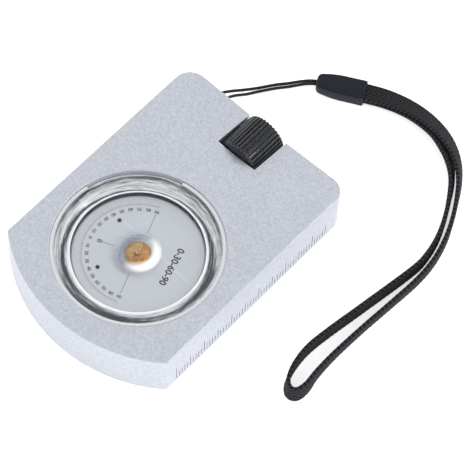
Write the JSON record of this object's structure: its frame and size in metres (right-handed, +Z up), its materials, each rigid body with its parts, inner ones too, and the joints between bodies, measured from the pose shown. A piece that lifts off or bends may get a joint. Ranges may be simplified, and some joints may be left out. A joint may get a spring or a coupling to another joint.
{
  "type": "hand clinometer",
  "caption": "Pocket clinometer: metal block with a damped pendulum dial in a clear capsule, ribbed focusing eyepiece, engraved edge rule and wrist lanyard.",
  "frame": {"origin": "bottom centre of the instrument's box, without the lanyard", "axes": "+Z up through the face, +Y towards the eyepiece end, X across; the engraved rule is on the +X side"},
  "size_m": [0.0804, 0.1136, 0.0169],
  "materials": {
    "blasted_aluminium": "fine bead-blasted, clear anodised",
    "clear_acrylic": "clear polished",
    "white_acrylic": "white moulded",
    "dial_silver": "silvered, printed scale",
    "brass": "turned and polished",
    "steel": "bright",
    "black_anodised": "matt black",
    "knob_plastic": "moulded satin black",
    "rubber": "moulded",
    "jewel": "polished amber",
    "lens_glass": "polished",
    "cord_black": "braided thin cord",
    "strap_black": "woven flat strap",
    "slider_plastic": "moulded satin"
  },
  "bodies": {
    "housing": {"housing": "blasted_aluminium", "capsule_cover": "black_anodised", "capsule_gasket": "rubber", "capsule_base": "white_acrylic", "filler_plug": "rubber", "capsule_seal": "rubber", "capsule_window": "clear_acrylic", "capsule_clip": "steel", "front_jewel": "jewel", "rear_jewel": "jewel", "index_hairline": "steel", "eyepiece_sleeve": "black_anodised", "knob_snap_ring": "steel", "lanyard_pin": "steel", "lanyard_cord": "cord_black", "cord_slider": "slider_plastic", "wrist_strap": "strap_black"},
    "dial": {"dial_wheel": "dial_silver", "dial_face": "dial_silver", "dial_scale_band": "dial_silver", "dial_weight": "brass", "dial_hub": "brass", "dial_axle": "steel", "dial_rivet_1": "black_anodised", "dial_rivet_2": "black_anodised"},
    "knob": {"focus_knob": "knob_plastic"},
    "lens": {"lens_cell": "black_anodised", "eye_lens": "lens_glass", "lens_retainer": "black_anodised", "guide_pin": "steel"}
  },
  "joints": [
    {"name": "dial_spin", "type": "hinge", "parent": "housing", "child": "dial", "pos_m": [0, -0.01005, 0.0075], "axis": [0, 0, 1], "continuous": true},
    {"name": "focus_turn", "type": "hinge", "parent": "housing", "child": "knob", "pos_m": [0, 0.03, 0.01105], "axis": [0, 1, 0], "range_deg": [0, 300]},
    {"name": "focus_slide", "type": "slide", "parent": "housing", "child": "lens", "axis": [0, 1, 0], "range_m": [0, 0.002]}
  ],
  "couplings": [
    {"joint": "focus_turn", "follows": "focus_slide", "rad_per_m": 2618}
  ]
}
